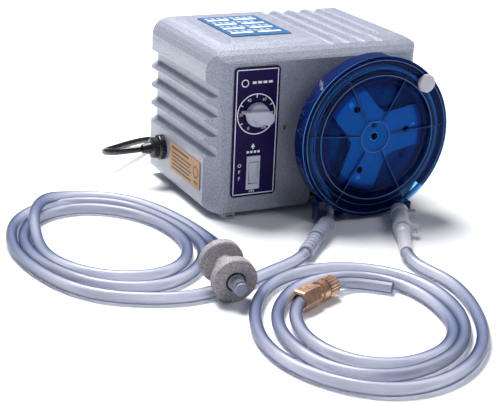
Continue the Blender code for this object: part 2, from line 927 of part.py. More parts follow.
def pump_tube():
    """The soft tube round the race, with its two ends turned forward under the cover's rim."""
    path = [
        (-16.4, -53.3, 7.5),
        (-10.4, -46.6, 7.9),
        (-4.4, -38.0, 9.2),
        (-2.0, -32.6, 12.0),
        (-2.6, -31.7, 17.5),
        (-6.0, -31.7, 26.0),
    ]
    for step in range(25):
        angle = math.radians(216.0 - (216.0 + 36.0) * step / 24.0)
        path.append(
            (
                HEAD_X + PUMP_TUBE_ORBIT * math.cos(angle),
                PUMP_TUBE_Y,
                HEAD_Z + PUMP_TUBE_ORBIT * math.sin(angle),
            )
        )
    path += [
        (77.2, -31.7, 26.0),
        (71.5, -31.7, 16.5),
        (68.6, -31.9, 10.0),
        (67.2, -33.4, 6.2),
        (65.4, -37.4, 5.2),
        (62.6, -42.0, 6.6),
        (59.8, -46.4, 8.2),
        (56.7, -51.5, 8.7),
    ]
    return tube(
        "pump_tube",
        smooth_path(path, 6.5),
        PUMP_TUBE_RADIUS,
        clear_vinyl(),
        3,
        PUMP_TUBE_STRETCH,
        PUMP_TUBE_Y,
    )


def tube_clamps():
    """The two blocks that hold the tube's ends beside the bottom of the head."""
    left = box("tube_clamp_left", (-16.4, -37.3, 2.6), (-8.4, -25.9, 21.8), blue_opaque())
    bevel(left, 0.8, 2)
    baked(left)
    for corner, far in (((-12.0, -27.3, 3.4), (9.0, -26.0, 7.6)), ((5.9, -37.3, 3.0), (9.8, -26.1, 7.8))):
        boolean(left, box("clamp_arm", corner, far, collection=CUTTERS), "UNION")
    right = box("tube_clamp_right", (72.9, -37.0, 2.6), (77.8, -25.0, 11.4), blue_opaque())
    bevel(right, 0.8, 2)
    baked(right)
    return left, right


def along(obj, start, end):
    """Puts the object's own +Z along the line from start to end, with its origin at start."""
    way = Vector(end) - Vector(start)
    obj.rotation_mode = "QUATERNION"
    obj.rotation_quaternion = way.to_track_quat("Z", "Y")
    obj.location = Vector(start) * MM
    return obj


def inlet_sleeve():
    """The ridged sleeve that joins the pump tube to the suction hose."""
    length = (Vector(SLEEVE_END) - Vector(SLEEVE_START)).length
    profile = [(0.0, length), (5.4, length)]
    count = 11
    for index in range(count):
        top = length - 1.0 - index * (length - 2.0) / count
        radius = 6.3 if top > length * 0.55 else 7.2
        step = (length - 2.0) / count
        profile.append((radius, top))
        profile.append((radius, top - step * 0.62))
        profile.append((radius - 0.55, top - step * 0.72))
        profile.append((radius - 0.55, top - step * 0.95))
    profile += [(6.4, 0.6), (6.2, 0.0), (5.3, 0.0), (5.3, 6.0), (0.0, 6.0)]
    sleeve = turned("inlet_sleeve", profile, 20, material("vinyl_grey", (0.50, 0.51, 0.56), 0.35))
    return along(sleeve, SLEEVE_START, SLEEVE_END)


def outlet_coupling():
    """The straight hose coupling on the outlet side."""
    length = (Vector(COUPLING_END) - Vector(COUPLING_START)).length
    body = turned(
        "outlet_coupling",
        [
            (0.0, length),
            (5.2, length),
            (5.6, 58.0),
            (6.6, 56.0),
            (6.6, 46.6),
            (6.0, 46.0),
            (6.0, 34.6),
            (7.0, 34.0),
            (7.0, 11.4),
            (6.0, 10.8),
            (6.0, 0.0),
            (4.8, 0.0),
            (4.8, 6.0),
            (0.0, 6.0),
        ],
        20,
        white_plastic(),
    )
    return along(body, COUPLING_START, COUPLING_END)


def snap_clamp(name, reach):
    """A toothed snap clamp round the coupling, its jaws standing out to one side."""
    start = Vector(COUPLING_START)
    way = (Vector(COUPLING_END) - start).normalized()
    band = turned(name, ring_profile(6.3, 7.9, 0.0, 9.0), 24, white_plastic(), closed=True)
    jaws = box(name + "_jaws", (-3.2, 6.9, 0.6), (3.2, 13.6, 8.4), collection=CUTTERS)
    boolean(band, jaws, "UNION")
    for index in range(2):
        y = 8.9 + 2.2 * index
        notch = box(name + "_notch", (1.2, y, -1.0), (4.0, y + 1.1, 11.0), collection=CUTTERS)
        boolean(band, notch)
    slit = box(name + "_slit", (-0.3, 9.6, -1.0), (0.3, 15.0, 11.0), collection=CUTTERS)
    boolean(band, slit)
    across = Vector((0.0, 0.0, 1.0)).cross(way).normalized()
    side = across * -1.0
    if side.x < 0.0:
        side = across
    front = side.cross(way)
    turn = Matrix((front, side, way)).transposed()
    if turn.determinant() < 0.0:
        turn = Matrix((front * -1.0, side, way)).transposed()
    band.matrix_world = Matrix.Translation((start + way * reach) * MM) @ turn.to_4x4()
    return band


def suction_side():
    """The suction hose, its coil, the run to the foot weight, and the weight with its stem."""
    path = [
        (-64.4, -105.1, 6.7),
        (-70.6, -110.4, 5.8),
        (-83.0, -116.4, 4.9),
        (-99.0, -122.0, 4.8),
        (-115.0, -130.0, 4.8),
        (-131.0, -137.6, 4.8),
        (-148.5, -141.7, 4.8),
        (-163.0, -144.6, 4.8),
        (-173.0, -146.6, 4.8),
    ]
    tube("suction_hose", smooth_path(path, 12.0), HOSE_RADIUS, clear_vinyl(), 3)
    coil = outline(
        "suction_coil",
        [
            ellipse_points((-207.0, -25.0), (72.0, 0.0), (0.0, 122.5), 56),
            ellipse_points((-204.0, -12.5), (52.0, 0.0), (0.0, 79.5), 48),
        ],
        9.5,
        clear_vinyl(),
    )
    place(coil, (0.0, 0.0, 4.75))
    path = [
        (-153.0, 73.0, 4.8),
        (-140.0, 52.0, 4.8),
        (-129.0, 21.0, 4.8),
        (-125.0, -13.0, 4.8),
        (-127.0, -45.0, 5.8),
        (-131.5, -72.0, 9.4),
        (-138.5, -96.0, 14.8),
        (-143.4, -106.0, 18.6),
        (-146.6, -114.0, 20.2),
        (-147.3, -120.8, 20.6),
    ]
    tube("weight_hose", smooth_path(path, 12.0), HOSE_RADIUS, clear_vinyl(), 3)
    weight = turned(
        "foot_weight",
        [
            (0.0, 38.8),
            (16.2, 38.8),
            (17.2, 37.8),
            (17.2, 30.4),
            (16.2, 29.2),
            (9.8, 26.6),
            (8.8, 25.4),
            (8.8, 12.0),
            (9.8, 10.8),
            (16.2, 8.2),
            (17.2, 7.0),
            (17.2, 1.0),
            (16.2, 0.0),
            (0.0, 0.0),
        ],
        36,
        ceramic(),
    )
    along(weight, WEIGHT_BACK, WEIGHT_FRONT)
    stem = turned(
        "weight_stem",
        [
            (0.0, 13.2),
            (4.4, 13.2),
            (5.0, 12.6),
            (5.0, 11.0),
            (4.4, 10.4),
            (4.4, 9.6),
            (5.6, 9.0),
            (5.6, 8.2),
            (5.0, 7.6),
            (5.6, 7.0),
            (5.6, 6.2),
            (5.0, 5.6),
            (5.6, 5.0),
            (5.6, 4.2),
            (5.0, 3.6),
            (5.6, 3.0),
            (5.6, 1.0),
            (6.4, 0.4),
            (0.0, 0.4),
        ],
        20,
        pale_grey(),
    )
    way = (Vector(WEIGHT_FRONT) - Vector(WEIGHT_BACK)).normalized()
    face = Vector(WEIGHT_BACK) + way * 38.86
    along(stem, face, face + way)
    return coil, weight, stem


def discharge_side():
    """The discharge hose, its coil, the brass fitting at its end and the short outlet tube."""
    path = [
        (12.5, -134.4, 7.9),
        (9.4, -141.8, 7.1),
        (8.8, -151.0, 5.9),
        (11.4, -161.5, 5.0),
        (15.6, -173.0, 4.8),
        (17.6, -185.5, 4.8),
        (17.0, -199.0, 4.8),
        (10.7, -226.5, 4.8),
        (-1.5, -258.0, 4.8),
        (-16.8, -283.4, 4.8),
        (-37.0, -305.5, 4.8),
        (-61.0, -321.5, 4.8),
        (-87.5, -329.5, 4.8),
        (-106.0, -329.3, 4.8),
    ]
    tube("discharge_hose", smooth_path(path, 13.0), HOSE_RADIUS, clear_vinyl(), 3)
    coil = outline(
        "discharge_coil",
        [
            ellipse_points((-81.5, -223.0), (84.5, 19.5), (10.0, 92.5), 60),
            ellipse_points((-77.5, -224.0), (62.0, 8.0), (0.0, 72.0), 52),
        ],
        9.5,
        clear_vinyl(),
    )
    place(coil, (0.0, 0.0, 4.75))
    start = Vector((-115.0, -191.0, 8.8))
    end = Vector((-75.0, -171.4, 8.8))
    way = (end - start).normalized()
    nut = turned("brass_nut", [(6.0, 17.6), (9.2, 17.6), (9.2, 1.0), (8.4, 0.0), (6.0, 0.0)], 6, brass(), closed=True)
    along(nut, start, end)
    body = turned(
        "brass_body",
        [
            (0.0, 32.4),
            (5.0, 32.4),
            (5.0, 30.6),
            (7.9, 30.0),
            (7.9, 23.6),
            (6.3, 23.0),
            (6.3, 20.6),
            (7.6, 20.0),
            (7.6, 18.0),
            (4.8, 17.9),
            (4.8, 9.0),
            (0.0, 9.0),
        ],
        24,
        brass(),
    )
    along(body, start, end)
    points = []
    for index in range(48):
        angle = 2.0 * math.pi * index / 48
        radius = 8.2 if index % 2 == 0 else 7.75
        points.append((radius * math.cos(angle), radius * math.sin(angle)))
    collar = outline("brass_collar", [points, circle_points(5.4, 20)], 11.0, brass())
    collar.data.transform(Matrix.Translation((0.0, 0.0, (30.9 + 5.5) * MM)))
    along(collar, start, end)
    tip = start + way * 42.3
    path = [
        tuple(start + way * 34.0),
        tuple(tip),
        (-66.5, -167.6, 7.0),
        (-54.0, -168.0, 5.2),
        (-42.0, -175.5, 4.8),
        (-31.5, -185.0, 4.8),
    ]
    tube("outlet_tube", smooth_path(path, 7.0), 4.6, clear_vinyl(), 3)
    return coil, nut, body, collar


def plug_run(travelled):
    """A point of the cord between its coil and the plug: it leaves the coil's top and settles on the way down."""
    straight, bend = 30.0, 40.0
    half = math.sqrt(0.5)
    x = COIL[0] + half * COIL_RADIUS + half * min(travelled, straight)
    y = COIL[1] + half * COIL_RADIUS - half * min(travelled, straight)
    turned_by = min(max((travelled - straight) / bend, 0.0), math.pi / 4.0)
    x += bend * (half - math.sin(math.pi / 4.0 - turned_by))
    y -= bend * (math.cos(math.pi / 4.0 - turned_by) - half)
    x += max(travelled - straight - bend * math.pi / 4.0, 0.0)
    top = COIL_TURNS * COIL_PITCH + 3.1
    if travelled < 75.0:
        z = 3.6 + (top - 3.6) * 0.5 * (1.0 + math.cos(math.pi * travelled / 75.0))
    else:
        z = 3.6 + (PLUG[2] - 3.6) * 0.5 * (1.0 - math.cos(math.pi * (travelled - 75.0) / 36.0))
    return x, y, z


def mains_cord():
    """The mains cord from the gland round to the back, its coil and its plug."""
    path = [
        (-122.7, 109.0, 35.5),
        (-130.4, 110.6, 34.9),
        (-138.2, 115.1, 32.9),
        (-144.0, 122.0, 30.8),
        (-147.1, 130.5, 28.4),
        (-147.1, 139.5, 26.0),
        (-144.0, 148.0, 23.8),
        (-138.6, 154.6, 22.2),
        (-126.0, 165.5, 20.4),
        (-112.0, 177.7, 18.3),
        (-98.0, 189.9, 15.8),
        (-84.0, 202.0, 13.0),
        (-66.0, 213.4, 9.0),
        (-46.0, 222.2, 5.2),
        (-26.0, 227.2, 3.4),
        (-8.0, 228.2, 3.3),
    ]
    tube("power_cord", smooth_path(path, 11.0), CORD_RADIUS, black_plastic(), 2)
    height = COIL_TURNS * COIL_PITCH + 6.2
    coil = turned(
        "cord_coil",
        [
            (COIL_RADIUS + 2.3, height),
            (COIL_RADIUS + 3.3, height - 1.0),
            (COIL_RADIUS + 3.3, 1.0),
            (COIL_RADIUS + 2.3, 0.0),
            (COIL_RADIUS - 2.3, 0.0),
            (COIL_RADIUS - 3.3, 1.0),
            (COIL_RADIUS - 3.3, height - 1.0),
            (COIL_RADIUS - 2.3, height),
        ],
        36,
        black_plastic(),
        closed=True,
    )
    place(coil, (COIL[0], COIL[1], 0.0))
    path = [plug_run(travelled) for travelled in (24.0, 33.0, 42.0, 51.0, 60.0, 69.0, 78.0, 87.0, 96.0, 104.0, 110.4)]
    tube("plug_cord", path, CORD_RADIUS, black_plastic(), 2)
    plug = outline("mains_plug", [rounded_rectangle(30.0, 20.0, 5.0, 4)], 22.0, black_plastic())
    place(plug, PLUG)
    for index, (y, z) in enumerate(((6.4, 0.0), (-6.4, 0.0), (0.0, -7.0))):
        blade = box(f"blade_{index}", (14.0, y - 0.8, z - 3.0), (33.0, y + 0.8, z + 3.0), collection=CUTTERS)
        blade.location += Vector(PLUG) * MM
        boolean(plug, blade, "UNION")
    return coil, plug


def build():
    """Builds every piece."""
    clear_scene()
    housing_shell()
    base_plate()
    foot("foot_front_left", -82.3, 12.3, -1.0)
    foot("foot_front_right", 89.0, 12.3, -1.0)
    foot("foot_back_left", -82.3, 129.0, 1.0)
    foot("foot_back_right", 89.0, 129.0, 1.0)
    front_panel()
    knob()
    potentiometer()
    rocker_switch()
    front_screw()
    labels()
    gland()
    drive_train()
    head_mount()
    race_shell()
    rotor()
    pump_tube()
    tube_clamps()
    head_cover()
    thumb_screw()
    inlet_sleeve()
    outlet_coupling()
    snap_clamp("snap_clamp_upper", 1.2)
    snap_clamp("snap_clamp_lower", 35.8)
    suction_side()
    discharge_side()
    mains_cord()


def centre_on_origin():
    """Moves every piece so that the origin is on the floor under the middle of the pump's box."""
    for obj in PARTS.objects:
        obj.location.x -= BOX_MIDDLE[0] * MM
        obj.location.y -= BOX_MIDDLE[1] * MM


build()
centre_on_origin()
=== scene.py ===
"""The looks of a peristaltic metering pump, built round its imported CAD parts."""

import json
import math

import bmesh
import bpy
from mathutils import Matrix, Vector

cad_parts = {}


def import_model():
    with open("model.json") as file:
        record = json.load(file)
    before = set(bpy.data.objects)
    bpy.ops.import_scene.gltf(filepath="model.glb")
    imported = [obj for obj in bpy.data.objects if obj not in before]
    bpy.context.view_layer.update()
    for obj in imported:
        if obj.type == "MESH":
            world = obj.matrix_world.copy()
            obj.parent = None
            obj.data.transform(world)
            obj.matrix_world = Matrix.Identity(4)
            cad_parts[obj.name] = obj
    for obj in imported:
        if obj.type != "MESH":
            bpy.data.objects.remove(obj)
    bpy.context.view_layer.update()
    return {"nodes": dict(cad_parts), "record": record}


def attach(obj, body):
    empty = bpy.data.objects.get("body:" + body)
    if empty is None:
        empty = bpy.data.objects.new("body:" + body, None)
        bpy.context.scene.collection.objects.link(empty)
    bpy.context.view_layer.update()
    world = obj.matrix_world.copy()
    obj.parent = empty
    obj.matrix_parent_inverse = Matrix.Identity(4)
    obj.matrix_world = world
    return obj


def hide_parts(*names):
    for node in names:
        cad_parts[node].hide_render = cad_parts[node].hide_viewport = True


# Places are given in millimetres from the floor under the middle of the housing's front face: x to the right,
# y to the back and z up. ORIGIN is where the shared frame has its own origin.
MM = 0.001
ORIGIN = Vector((2.25, 43.7, 0.0))


def at(x, y, z):
    """A place in millimetres from the housing's front face, as a point of the shared frame in metres."""
    return (Vector((x, y, z)) - ORIGIN) * MM


# ---------------------------------------------------------------- materials

# A noise texture's values mostly lie between these two.
NOISE_LOW = 0.3
NOISE_HIGH = 0.7


class Nodes:
    """A small helper that builds one material's nodes."""

    def __init__(self, name):
        self.material = bpy.data.materials.new(name)
        self.material.use_nodes = True
        self.tree = self.material.node_tree
        self.shader = self.tree.nodes["Principled BSDF"]

    def add(self, kind, **values):
        node = self.tree.nodes.new(kind)
        for key, value in values.items():
            setattr(node, key, value)
        return node

    def link(self, source, target):
        self.tree.links.new(source, target)

    def set(self, **values):
        for key, value in values.items():
            self.shader.inputs[key.replace("_", " ")].default_value = value

    def coordinates(self):
        return self.add("ShaderNodeTexCoord").outputs["Object"]

    def vector_math(self, operation, source, other=None):
        node = self.add("ShaderNodeVectorMath", operation=operation)
        if other is not None:
            node.inputs[1].default_value = other
        self.link(source, node.inputs[0])
        return node

    def noise(self, scale, detail=3.0, roughness=0.5):
        node = self.add("ShaderNodeTexNoise")
        node.inputs["Scale"].default_value = scale
        node.inputs["Detail"].default_value = detail
        node.inputs["Roughness"].default_value = roughness
        self.link(self.coordinates(), node.inputs["Vector"])
        return node.outputs["Fac"]

    def voronoi(self, scale):
        node = self.add("ShaderNodeTexVoronoi")
        node.inputs["Scale"].default_value = scale
        self.link(self.coordinates(), node.inputs["Vector"])
        return node.outputs["Distance"]

    def ramp(self, source, stops):
        node = self.add("ShaderNodeValToRGB")
        elements = node.color_ramp.elements
        while len(elements) < len(stops):
            elements.new(0.5)
        for element, (place, colour) in zip(elements, stops):
            element.position = place
            element.color = (*colour, 1.0)
        self.link(source, node.inputs["Fac"])
        return node.outputs["Color"]

    def colour_from(self, source, low, high, start=NOISE_LOW, end=NOISE_HIGH):
        self.link(self.ramp(source, [(start, low), (end, high)]), self.shader.inputs["Base Color"])

    def roughness_from(self, source, low, high):
        node = self.add("ShaderNodeMapRange")
        node.inputs["From Min"].default_value = NOISE_LOW
        node.inputs["From Max"].default_value = NOISE_HIGH
        node.inputs["To Min"].default_value = low
        node.inputs["To Max"].default_value = high
        self.link(source, node.inputs["Value"])
        self.link(node.outputs["Result"], self.shader.inputs["Roughness"])

    def bump(self, source, distance, strength):
        node = self.add("ShaderNodeBump")
        node.inputs["Strength"].default_value = strength
        node.inputs["Distance"].default_value = distance
        self.link(source, node.inputs["Height"])
        self.link(node.outputs["Normal"], self.shader.inputs["Normal"])


def darker(colour, share):
    """A colour with each channel brought down to a share of itself."""
    return tuple(channel * share for channel in colour)


def hammertone():
    """Grey hammertone enamel: fine round dimples, coloured darker towards their hollows as painted shade over
    the enamel's own mottle, and a soft shine.
    """
    made = Nodes("hammertone_enamel")
    made.set(Roughness=0.4, Metallic=0.2, Coat_Weight=0.2, Coat_Roughness=0.2)
    dimples = made.voronoi(900.0)
    # Painted shade: the colour darkens towards each dimple's hollow, where the bump sinks, over the enamel's
    # own mottle.
    made.colour_from(dimples, (0.13, 0.145, 0.19), (0.36, 0.38, 0.455), 0.02, 0.55)
    made.roughness_from(made.noise(220.0), 0.32, 0.48)
    made.bump(dimples, 0.00025, 0.8)
    return made.material


def moulded(name, colour, roughness, spread=0.85, specular=0.5):
    """A moulded plastic with a faint grain and a little unevenness in its shine."""
    made = Nodes(name)
    made.set(Roughness=roughness, Specular_IOR_Level=specular)
    grain = made.noise(700.0, 2.0)
    made.colour_from(made.noise(60.0, 4.0), darker(colour, spread), colour)
    made.roughness_from(grain, roughness * 0.85, roughness * 1.2)
    made.bump(grain, 0.00004, 0.5)
    return made.material


def metal(name, colour, roughness, metallic=1.0, spread=0.82):
    """A machined metal with a fine uneven polish."""
    made = Nodes(name)
    made.set(Metallic=metallic, Roughness=roughness)
    grain = made.noise(500.0, 4.0)
    made.colour_from(made.noise(90.0, 3.0), darker(colour, spread), colour)
    made.roughness_from(grain, roughness * 0.7, roughness * 1.35)
    made.bump(grain, 0.00002, 0.5)
    return made.material


def fired_ceramic():
    """The foot weight's surface: fine dark and pale grains with a rough skin."""
    made = Nodes("fired_ceramic")
    roughness = 0.7
    scale = 900.0
    made.set(Roughness=roughness)
    grain = made.noise(scale, 5.0, 0.7)
    made.colour_from(grain, (0.17, 0.15, 0.17), (0.46, 0.42, 0.44), 0.38, 0.62)
    made.roughness_from(made.noise(scale * 0.3), roughness * 0.85, roughness * 1.15)
    made.bump(grain, 0.00015, 0.6)
    return made.material


def blue_shell():
    """The deep blue, faintly clear plastic behind the cover, with a slightly uneven surface."""
    made = Nodes("blue_shell")
    made.set(Roughness=0.07, Transmission_Weight=0.35, IOR=1.49, Specular_IOR_Level=0.4)
    colour = (0.008, 0.022, 0.14)
    wave = made.noise(120.0, 2.0)
    made.colour_from(wave, darker(colour, 0.7), colour)
    made.bump(wave, 0.00005, 0.35)
    return made.material


# The cover's colour at distances from its middle, in millimetres: a light blue tint over the rotor's part,
# painted shade in a deep band round the rotor's edge and in a deep ring at the rim, and painted highlights in
# the pale rings between, the palest just inside the rim's deep ring.
WINDOW_TINTS_SHADE_AND_HIGHLIGHTS = (
    (0.0, (0.11, 0.48, 0.93)),
    (42.0, (0.11, 0.46, 0.92)),
    (45.0, (0.04, 0.20, 0.62)),
    (50.0, (0.04, 0.18, 0.58)),
    (53.5, (0.14, 0.48, 0.92)),
    (56.0, (0.18, 0.54, 0.95)),
    (57.0, (0.14, 0.50, 0.92)),
    (65.5, (0.24, 0.62, 0.97)),
    (66.5, (0.02, 0.10, 0.40)),
    (69.0, (0.03, 0.16, 0.52)),
    (70.0, (0.16, 0.52, 0.94)),
)
WINDOW_REACH = 100.0


def head_window(cover):
    """The cover's clear blue, which changes with the distance from its middle, with painted shade and painted
    highlights in its rings.
    """
    made = Nodes("blue_window")
    made.set(Roughness=0.03, Transmission_Weight=1.0, IOR=1.4, Specular_Tint=(0.02, 0.06, 0.3, 1.0))
    corners = [Vector(corner) for corner in cover.bound_box]
    middle = sum(corners, Vector()) / len(corners)
    shifted = made.vector_math("SUBTRACT", made.coordinates(), middle).outputs["Vector"]
    flattened = made.vector_math("MULTIPLY", shifted, (1.0, 0.0, 1.0)).outputs["Vector"]
    distance = made.vector_math("LENGTH", flattened).outputs["Value"]
    share = made.add("ShaderNodeMath", operation="MULTIPLY")
    share.inputs[1].default_value = 1.0 / (WINDOW_REACH * MM)
    made.link(distance, share.inputs[0])
    # Painted shade and painted highlights: the ramp's deep and pale rings round the cover's middle.
    stops = [(place / WINDOW_REACH, colour) for place, colour in WINDOW_TINTS_SHADE_AND_HIGHLIGHTS]
    made.link(made.ramp(share.outputs["Value"], stops), made.shader.inputs["Base Color"])
    made.bump(made.noise(120.0, 2.0), 0.00005, 0.3)
    return made.material


def vinyl():
    """Soft clear tubing whose colour is painted by the angle it is seen at: pale over its middle with painted
    pale and dark streaks, and painted shade along its two edges, standing for how light passes its thick
    clear walls.
    """
    made = Nodes("clear_vinyl_tube")
    made.set(Roughness=0.3, Transmission_Weight=0.5, IOR=1.25, Coat_Weight=0.15, Coat_Roughness=0.06)
    # Painted shade and painted streaks: the colour follows how squarely the surface faces the camera.
    edge = made.add("ShaderNodeLayerWeight")
    edge.inputs["Blend"].default_value = 0.5
    stops = [
        (0.0, (0.66, 0.67, 0.76)),
        (0.12, (0.50, 0.53, 0.66)),
        (0.24, (0.68, 0.69, 0.78)),
        (0.42, (0.56, 0.59, 0.71)),
        (0.58, (0.26, 0.30, 0.46)),
        (0.78, (0.02, 0.03, 0.12)),
    ]
    made.link(made.ramp(edge.outputs["Facing"], stops), made.shader.inputs["Base Color"])
    made.bump(made.noise(1300.0, 3.0), 0.00008, 0.5)
    return made.material


def slot_materials(cover):
    """One material for each material slot that the record names."""
    return {
        "housing_grey": hammertone(),
        "panel_navy": moulded("panel_film", (0.014, 0.005, 0.075), 0.42, 0.6, specular=0.1),
        "pale_grey": moulded("pale_grey_plastic", (0.54, 0.55, 0.66), 0.36),
        "white_plastic": moulded("white_plastic", (0.54, 0.53, 0.59), 0.34, 0.9),
        "black_plastic": moulded("black_satin", (0.012, 0.012, 0.014), 0.28),
        "blue_clear": head_window(cover),
        "blue_plastic": blue_shell(),
        "label_white": moulded("label_film_blue", (0.03, 0.12, 0.28), 0.5, specular=0.2),
        "label_orange": moulded("label_film_tan", (0.56, 0.31, 0.13), 0.5, specular=0.3),
        "cast_grey": moulded("cast_metal", (0.16, 0.16, 0.17), 0.55, 0.7),
        "steel": metal("machined_steel", (0.50, 0.52, 0.56), 0.32),
        "board_green": moulded("circuit_board", (0.02, 0.14, 0.05), 0.4),
        "clear_vinyl": vinyl(),
        "vinyl_grey": moulded("ribbed_vinyl", (0.36, 0.38, 0.48), 0.3, 0.8),
        "ceramic": fired_ceramic(),
        "brass": metal("machined_brass", (0.74, 0.45, 0.30), 0.34, metallic=0.75, spread=0.6),
    }


# ---------------------------------------------------------------- shapes


def put(obj, material, body="pump"):
    """Links a new piece, gives it its material and lets it ride on its body."""
    bpy.context.scene.collection.objects.link(obj)
    obj.data.materials.append(material)
    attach(obj, body)
    return obj


def smooth_curve(points, steps=12):
    """A fine line through the given points: a centripetal Catmull-Rom curve with some steps between two."""
    knots = [Vector(point) for point in points]
    padded = [knots[0] * 2.0 - knots[1], *knots, knots[-1] * 2.0 - knots[-2]]
    fine = []
    for index in range(1, len(padded) - 2):
        p0, p1, p2, p3 = padded[index - 1:index + 3]
        t1 = (p1 - p0).length ** 0.5
        t2 = t1 + (p2 - p1).length ** 0.5
        t3 = t2 + (p3 - p2).length ** 0.5
        for step in range(steps):
            t = t1 + (t2 - t1) * step / steps
            a1 = p0 * ((t1 - t) / t1) + p1 * (t / t1)
            a2 = p1 * ((t2 - t) / (t2 - t1)) + p2 * ((t - t1) / (t2 - t1))
            a3 = p2 * ((t3 - t) / (t3 - t2)) + p3 * ((t - t2) / (t3 - t2))
            b1 = a1 * ((t2 - t) / t2) + a2 * (t / t2)
            b2 = a2 * ((t3 - t) / (t3 - t1)) + a3 * ((t - t1) / (t3 - t1))
            fine.append(b1 * ((t2 - t) / (t2 - t1)) + b2 * ((t - t1) / (t2 - t1)))
    fine.append(knots[-1])
    return fine


def smooth_route(points, spacing):
    """Evenly spaced points on the smooth curve through the given ones."""
    fine = smooth_curve(points)
    reach = [0.0]
    for start, end in zip(fine, fine[1:]):
        reach.append(reach[-1] + (end - start).length)
    count = max(2, round(reach[-1] / spacing) + 1)
    route = []
    index = 0
    for number in range(count):
        wanted = reach[-1] * number / (count - 1)
        while index < len(fine) - 2 and reach[index + 1] < wanted:
            index += 1
        share = (wanted - reach[index]) / (reach[index + 1] - reach[index])
        route.append(fine[index].lerp(fine[index + 1], min(max(share, 0.0), 1.0)))
    return route


def relaxed(route, rounds):
    """A route with its sharpest bends eased; its ends stay."""
    for _ in range(rounds):
        middle = [
            point * 0.5 + (before + after) * 0.25
            for before, point, after in zip(route, route[1:], route[2:])
        ]
        route = [route[0], *middle, route[-1]]
    return route


def tube(name, route, radius, material, resolution=8, ends=(1.0, 1.0)):
    """A round tube along a route; its radius can change evenly from one end to the other."""
    curve = bpy.data.curves.new(name, "CURVE")
    curve.dimensions = "3D"
    curve.bevel_depth = radius * MM
    curve.bevel_resolution = resolution
    curve.use_fill_caps = True
    spline = curve.splines.new("POLY")
    last = len(route) - 1
    spline.points.add(last)
    for index, (point, place) in enumerate(zip(spline.points, route)):
        point.co = (*at(*place), 1.0)
        point.radius = ends[0] + (ends[1] - ends[0]) * index / last
    spline.use_smooth = True
    return put(bpy.data.objects.new(name, curve), material)


def mesh_piece(name, work, material, body="pump"):
    """A piece from a bmesh whose points are in the shared frame."""
    mesh = bpy.data.meshes.new(name)
    bmesh.ops.recalc_face_normals(work, faces=work.faces)
    work.to_mesh(mesh)
    work.free()
    return put(bpy.data.objects.new(name, mesh), material, body)


def slab(work, outline, low, high, place):
    """Adds a flat shape between two depths; place turns (across, up, depth) into millimetres."""
    rings = [[work.verts.new(at(*place(x, z, depth))) for x, z in outline] for depth in (low, high)]
    work.faces.new(rings[0])
    work.faces.new(rings[1][::-1])
    join_rings(work, *rings)


def join_rings(work, first, second):
    """Adds the band of faces between two rings with as many points."""
    for index, vertex in enumerate(first):
        after = (index + 1) % len(first)
        work.faces.new((vertex, first[after], second[after], second[index]))


def bar(x_low, z_low, x_high, z_high):
    """A rectangle's corners."""
    return [(x_low, z_low), (x_high, z_low), (x_high, z_high), (x_low, z_high)]


def dashes(left, foot, width, height, step, count):
    """A row of equal bars."""
    starts = [left + step * index for index in range(count)]
    return [bar(start, foot, start + width, foot + height) for start in starts]


def circle(centre, radius, count=24):
    """A circle's points."""
    turns = [2.0 * math.pi * index / count for index in range(count)]
    return [(centre[0] + radius * math.cos(turn), centre[1] + radius * math.sin(turn)) for turn in turns]


def ring_parts(centre, inner, outer, count):
    """A flat ring as a row of quadrilaterals."""
    shapes = []
    for index in range(count):
        a, b = (math.radians(360.0 * (index + step) / count) for step in (0, 1))
        shapes.append(
            [
                (centre[0] + radius * math.cos(angle), centre[1] + radius * math.sin(angle))
                for radius, angle in ((inner, a), (outer, a), (outer, b), (inner, b))
            ]
        )
    return shapes


def spoke(centre, degrees, inner, outer, left, right):
    """A straight stripe that points away from a centre, between two distances from it."""
    angle = math.radians(degrees)
    way = Vector((math.cos(angle), math.sin(angle)))
    side = Vector((-way.y, way.x))
    return [
        tuple(Vector(centre) + way * reach + side * across)
        for reach, across in ((inner, left), (outer, left), (outer, right), (inner, right))
    ]


def squared(value, power):
    """A sine or cosine pushed outwards, which turns a circle into a rounded square."""
    return math.copysign(abs(value) ** power, value)


def on_front(x, z, depth):
    """A place on a plane that faces the front; depth counts out of the housing's front face."""
    return x, -depth, z


def letters(work, text, size, centre, depth):
    """Adds plain block lettering that faces the front, its middle at a place."""
    curve = bpy.data.curves.new("lettering", "FONT")
    curve.body = text
    curve.size = size
    curve.align_x = "CENTER"
    curve.align_y = "CENTER"
    curve.resolution_u = 3
    obj = bpy.data.objects.new("lettering", curve)
    bpy.context.scene.collection.objects.link(obj)
    bpy.context.view_layer.update()
    mesh = bpy.data.meshes.new_from_object(obj.evaluated_get(bpy.context.evaluated_depsgraph_get()))
    bpy.data.objects.remove(obj)
    bpy.data.curves.remove(curve)
    for polygon in mesh.polygons:
        places = [mesh.vertices[index].co for index in polygon.vertices]
        corners = [on_front(centre[0] + place.x, centre[1] + place.y, depth) for place in places]
        work.faces.new([work.verts.new(at(*corner)) for corner in corners])
    bpy.data.meshes.remove(mesh)


# ---------------------------------------------------------------- print on the panel and the labels

PANEL_INK = (1.31, 1.37)
BORDER_LEFT, BORDER_RIGHT = -81.2, -42.2
BORDER_FOOT, BORDER_TOP = 22.4, 132.8
BORDER_WIDTH = 0.75
DIAL = (-61.7, 93.7)
DIAL_RING = (17.1, 18.0)
DIAL_TICK = (14.4, 17.3)
DIAL_NUMBERS = 14.2
DIAL_ZERO = 240.0
DIAL_STEP = 30.0
ARROW_HEAD = [(-65.6, 64.6), (-61.4, 64.6), (-63.5, 68.0)]
ARROW_STEM = (-64.0, 62.9, -63.0, 64.8)
MARK = (-73.2, 121.0)
LEGENDS = (
    ("O", 4.4, (-75.6, 48.8)),
    ("F", 4.4, (-75.6, 43.0)),
    ("F", 4.4, (-75.6, 37.2)),
    ("ON", 3.2, (-63.2, 25.0)),
)


